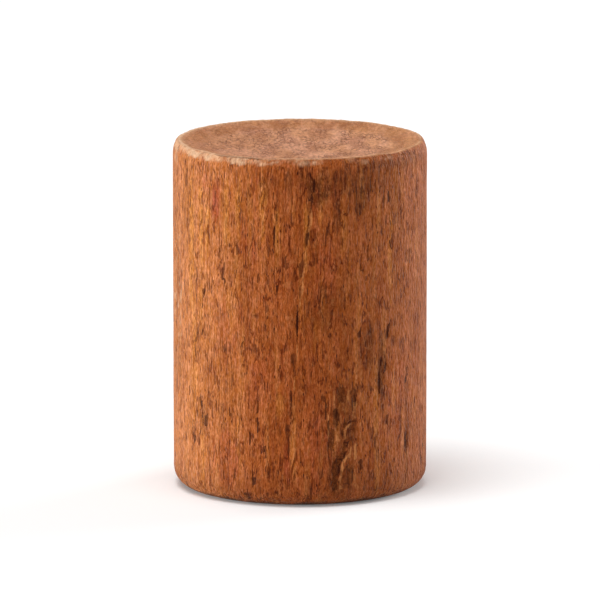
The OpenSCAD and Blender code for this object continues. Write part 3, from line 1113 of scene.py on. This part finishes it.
def damagedColour(nodes, links, colour, patterns):
    # splinters, the torn patch with painted shade in its hollows, pale lips that are painted highlights,
    # rubbed wood and open splits
    grains, shift = shellLook["edgeNoise"]
    ragged = noiseNode(nodes, links, perMetre(grains), 2.0, 0.5, 0.0, (shift, shift, shift))
    ragged = mathNode(nodes, links, "SUBTRACT", ragged, 0.5)
    splintered = tinted(nodes, links, colour, patterns["splinter"], "splinter")
    shade = scaled(nodes, links, attribute(nodes, "shade"), "splinter")
    colour = mixColour(nodes, links, shade, colour, splintered)
    torn = sharpMark(nodes, links, ragged, "torn")
    torn = mathNode(nodes, links, "MULTIPLY", torn, attribute(nodes, "tornDark"))
    # the dark torn wood is partly painted shade in the hollows
    tornWoodAndShade = tinted(nodes, links, woodPaint("tornWoodAndShade"), patterns["splinter"], "tornSplinter")
    colour = mixColour(nodes, links, scaled(nodes, links, torn, "torn"), colour, tornWoodAndShade)
    # pale lips on cracks and ridges: a painted highlight
    colour = laid(nodes, links, colour, sharpMark(nodes, links, ragged, "highlightLip"), "highlightLip", "highlightLip")
    colour = laid(nodes, links, colour, bareWood(nodes, links, ragged), "worn")
    split = sharpMark(nodes, links, ragged, "split")
    split = mathNode(nodes, links, "MULTIPLY", split, attribute(nodes, "dark"))
    return laid(nodes, links, colour, split, "split")


def footDirtAndShade(nodes, links, colour, height, patterns):
    # dirt and painted contact shadow along the foot, in patches, and a little darker towards the foot
    dirtAndContactShadow = mathNode(nodes, links, "MULTIPLY", faded(nodes, links, height, "dirtAndContactShadow"), patterns["dirtPatch"])
    dirtAndContactShadow = scaled(nodes, links, dirtAndContactShadow, "dirtAndContactShadow")
    dirtAndContactShadow = mathNode(nodes, links, "MAXIMUM", dirtAndContactShadow, faded(nodes, links, height, "towardsFoot"))
    return laid(nodes, links, colour, dirtAndContactShadow, "grimeAndContactShadow")


def bumpOf(nodes, links, heights, strength, distance):
    bump = nodes.new("ShaderNodeBump")
    bump.inputs["Strength"].default_value = strength
    bump.inputs["Distance"].default_value = distance * mm
    links.new(heights, bump.inputs["Height"])
    return bump.outputs[0]


def woodMaterial():
    look = shellLook["finish"]
    material, nodes, links = newMaterial("wornWood")
    out = nodes.new("ShaderNodeOutputMaterial")
    bsdf = nodes.new("ShaderNodeBsdfPrincipled")
    place = nodes.new("ShaderNodeTexCoord")
    axes = nodes.new("ShaderNodeSeparateXYZ")
    links.new(place.outputs["Object"], axes.inputs[0])
    across, _, height = axes.outputs

    patterns = woodPatterns(nodes, links)
    side = sideColour(nodes, links, across, patterns)
    top = topColour(nodes, links, across, patterns)
    colour = mixColour(nodes, links, attribute(nodes, "endGrain"), side, top)
    colour = damagedColour(nodes, links, colour, patterns)
    colour = footDirtAndShade(nodes, links, colour, height, patterns)
    links.new(colour, bsdf.inputs["Base Color"])

    rough = spread(nodes, links, patterns["fibre"], 0.0, 1.0, *look["roughness"], False)
    links.new(rough, bsdf.inputs["Roughness"])
    bsdf.inputs["Specular IOR Level"].default_value = look["specular"]
    bsdf.inputs["Sheen Weight"].default_value = look["dust"]
    bsdf.inputs["Sheen Roughness"].default_value = look["dustRoughness"]
    bsdf.inputs["Sheen Tint"].default_value = woodPaint("dust")

    crackle = patterns["crackle"]
    heights = mathNode(nodes, links, "MULTIPLY_ADD", crackle, look["crackleHeight"], patterns["fibre"])
    for name in ("pore", "flake", "net"):
        heights = mathNode(nodes, links, "SUBTRACT", heights, patterns[name])
    bump = bumpOf(nodes, links, heights, look["bumpStrength"], look["bumpHeight"])
    links.new(bump, bsdf.inputs["Normal"])
    links.new(bsdf.outputs[0], out.inputs["Surface"])
    print("wood mixed:", len(patterns), "patterns,", len(nodes), "nodes")
    return material


def addShell():
    shell = turnShell()
    skin = weatherShell(shell)
    unrollShell(shell, skin)
    shell.data.materials.append(woodMaterial())
    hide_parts("wooden_shell")
    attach(shell, "root")


insertLook = {
    "plastic": (228, 224, 212),
    "shade": (206, 200, 186),
    "cloud": (0.26, 0.26, 0.14),  # grains for each mm
    "cloudLevels": (0.35, 0.7),
    "roughness": (0.38, 0.52),
    "roughLevels": (0.3, 0.7),
    "skin": (2.6, 2.6, 2.6),
    "bumpStrength": 0.4,
    "bumpHeight": 0.02,
}


def dressInsert():
    look = insertLook
    material, nodes, links = newMaterial("milkyPlastic")
    out = nodes.new("ShaderNodeOutputMaterial")
    bsdf = nodes.new("ShaderNodeBsdfPrincipled")
    cloud = noiseNode(nodes, links, perMetre(look["cloud"]), 3.0)
    cloudShare = spread(nodes, links, cloud, *look["cloudLevels"])
    colour = mixColour(nodes, links, cloudShare, painted(*look["plastic"]), painted(*look["shade"]))
    links.new(colour, bsdf.inputs["Base Color"])
    rough = spread(nodes, links, cloud, *look["roughLevels"], *look["roughness"])
    links.new(rough, bsdf.inputs["Roughness"])
    skin = noiseNode(nodes, links, perMetre(look["skin"]), 2.0)
    bump = bumpOf(nodes, links, skin, look["bumpStrength"], look["bumpHeight"])
    links.new(bump, bsdf.inputs["Normal"])
    links.new(bsdf.outputs[0], out.inputs["Surface"])
    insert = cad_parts["collar_insert"]
    insert.data.materials.clear()
    insert.data.materials.append(material)
    print("insert dressed")


# the stage, in metres and watts
stageLook = {
    "floorSize": 6.0,
    "floor": (0.9, 0.9, 0.9, 1),
    "floorSeen": (0.98, 0.98, 0.98, 1),
    "paleShare": 0.10,  # how much of the floor's own shading the white paper takes away
    "paleLevel": 0.12,
    "room": (1, 1, 1, 1),  # white all round
    "fill": 0.27,  # how much light it gives
    "target": (0, 0, 0.02),
    "lamps": {  # place, size, power
        "windowLeft": ((-0.68, -0.19, 0.14), (0.85, 0.22), 3.3),
        "ceilingSoft": ((-0.26, -0.30, 2.0), (1.1, 1.25), 28.0),
        "edgeRight": ((0.55, 0.40, 0.15), (0.4, 0.2), 3.4),
    },
}


def seenRays(nodes, links):
    # 1 for what the camera sees, straight or by a reflection, and 0 for the light that bounces about
    path = nodes.new("ShaderNodeLightPath")
    seen = mathNode(nodes, links, "MAXIMUM", path.outputs["Is Camera Ray"], path.outputs["Is Glossy Ray"])
    return mathNode(nodes, links, "MAXIMUM", seen, path.outputs["Is Transmission Ray"])


def addFloor():
    look = stageLook
    deselectAll()
    bpy.ops.mesh.primitive_plane_add(size=look["floorSize"], location=(0, 0, 0))
    floor = bpy.context.object
    floor.name = "studioFloor"
    material, nodes, links = newMaterial("floorWhite")
    out = nodes.new("ShaderNodeOutputMaterial")
    bsdf = nodes.new("ShaderNodeBsdfDiffuse")
    seen = seenRays(nodes, links)
    white = mixColour(nodes, links, seen, look["floor"], look["floorSeen"])
    links.new(white, bsdf.inputs["Color"])

    # the camera sees white paper: part of the shading gives way to an even white
    even = nodes.new("ShaderNodeEmission")
    even.inputs["Strength"].default_value = look["paleLevel"] / look["paleShare"]
    share = mathNode(nodes, links, "MULTIPLY", seen, look["paleShare"])
    mix = nodes.new("ShaderNodeMixShader")
    links.new(share, mix.inputs[0])
    links.new(bsdf.outputs[0], mix.inputs[1])
    links.new(even.outputs[0], mix.inputs[2])
    links.new(mix.outputs[0], out.inputs["Surface"])
    floor.data.materials.append(material)
    print("floor laid")


def addLamp(name, place, size, watts):
    data = bpy.data.lights.new(name, "AREA")
    data.shape = "RECTANGLE"
    data.size, data.size_y = size
    data.energy = watts
    lamp = bpy.data.objects.new(name, data)
    bpy.context.scene.collection.objects.link(lamp)
    lamp.location = place
    aim = Vector(stageLook["target"]) - Vector(place)
    lamp.rotation_euler = aim.to_track_quat("-Z", "Y").to_euler()


def addLight():
    look = stageLook
    for name, (place, size, watts) in look["lamps"].items():
        addLamp(name, place, size, watts)
    world = bpy.data.worlds.new("whiteRoom")
    bpy.context.scene.world = world
    world.use_nodes = True
    nodes, links = world.node_tree.nodes, world.node_tree.links
    background = nodes["Background"]
    background.inputs["Color"].default_value = look["room"]
    strength = spread(nodes, links, seenRays(nodes, links), 0.0, 1.0, look["fill"], 1.0, False)
    links.new(strength, background.inputs["Strength"])
    print("lamps set:", len(look["lamps"]))


bpy.context.scene.view_settings.view_transform = "Standard"
addCamera()
addShell()
dressInsert()
addFloor()
addLight()
